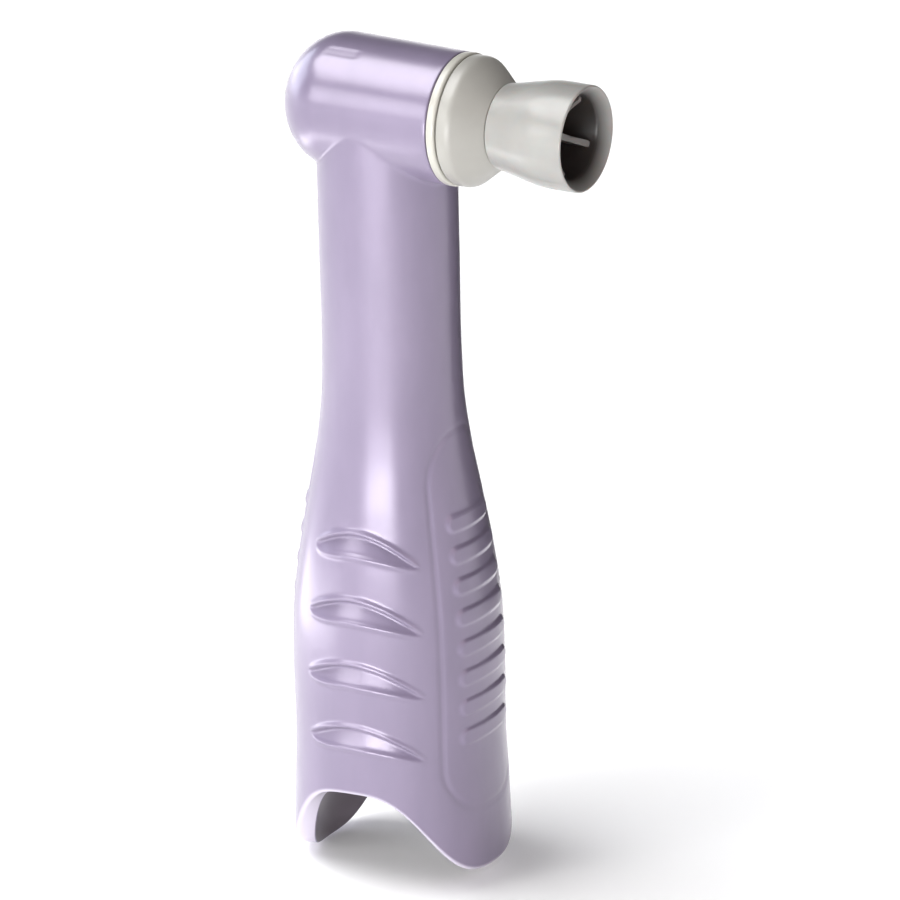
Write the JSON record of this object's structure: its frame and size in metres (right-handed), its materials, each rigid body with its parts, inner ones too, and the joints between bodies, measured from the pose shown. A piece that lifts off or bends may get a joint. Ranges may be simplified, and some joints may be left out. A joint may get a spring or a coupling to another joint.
{
  "type": "contra angle handpiece",
  "caption": "Right-angle dental polishing handpiece: flared grip with a wavy skirt, slim neck, round head and a soft webbed cup turned by bevel gears.",
  "frame": {"origin": "on the drive axis, at the mouth of the socket that takes a low-speed handpiece's nose", "axes": "+Z along the drive axis towards the head, +X along the rotor axis towards the cup"},
  "size_m": [0.0225, 0.014, 0.0585],
  "materials": {
    "shell_plastic": "pearlescent moulded plastic",
    "cap_plastic": "satin moulded plastic",
    "hub_plastic": "satin moulded plastic",
    "cup_rubber": "smooth soft rubber",
    "acetal": "smooth acetal",
    "gear_nylon": "smooth nylon",
    "bush_bronze": "turned bronze",
    "stainless": "ground stainless steel",
    "seal_rubber": "moulded rubber"
  },
  "bodies": {
    "housing": {"body_shell": "shell_plastic", "head_cap": "cap_plastic", "head_cap_seal": "seal_rubber", "front_bush": "bush_bronze", "rear_bush": "bush_bronze", "upper_shaft_bush": "bush_bronze", "lower_shaft_bush": "bush_bronze", "shaft_seal": "seal_rubber", "nose_sleeve": "acetal", "grip_ring": "seal_rubber"},
    "drive": {"drive_shaft": "stainless", "drive_gear": "gear_nylon", "drive_dog": "gear_nylon", "shaft_clip": "stainless", "upper_thrust_washer": "stainless", "lower_thrust_washer": "stainless"},
    "rotor": {"rotor_spindle": "stainless", "driven_gear": "gear_nylon", "rotor_hub": "hub_plastic", "rotor_seal": "seal_rubber", "cup_button": "acetal", "polishing_cup": "cup_rubber", "front_thrust_washer": "stainless", "rear_thrust_washer": "stainless"}
  },
  "joints": [
    {"name": "drive_spin", "type": "hinge", "parent": "housing", "child": "drive", "pos_m": [0, 0, 0], "axis": [0, 0, 1], "continuous": true},
    {"name": "rotor_spin", "type": "hinge", "parent": "housing", "child": "rotor", "pos_m": [0, 0, 0.045], "axis": [1, 0, 0], "continuous": true}
  ],
  "couplings": [
    {"joint": "rotor_spin", "follows": "drive_spin", "ratio": 1}
  ]
}
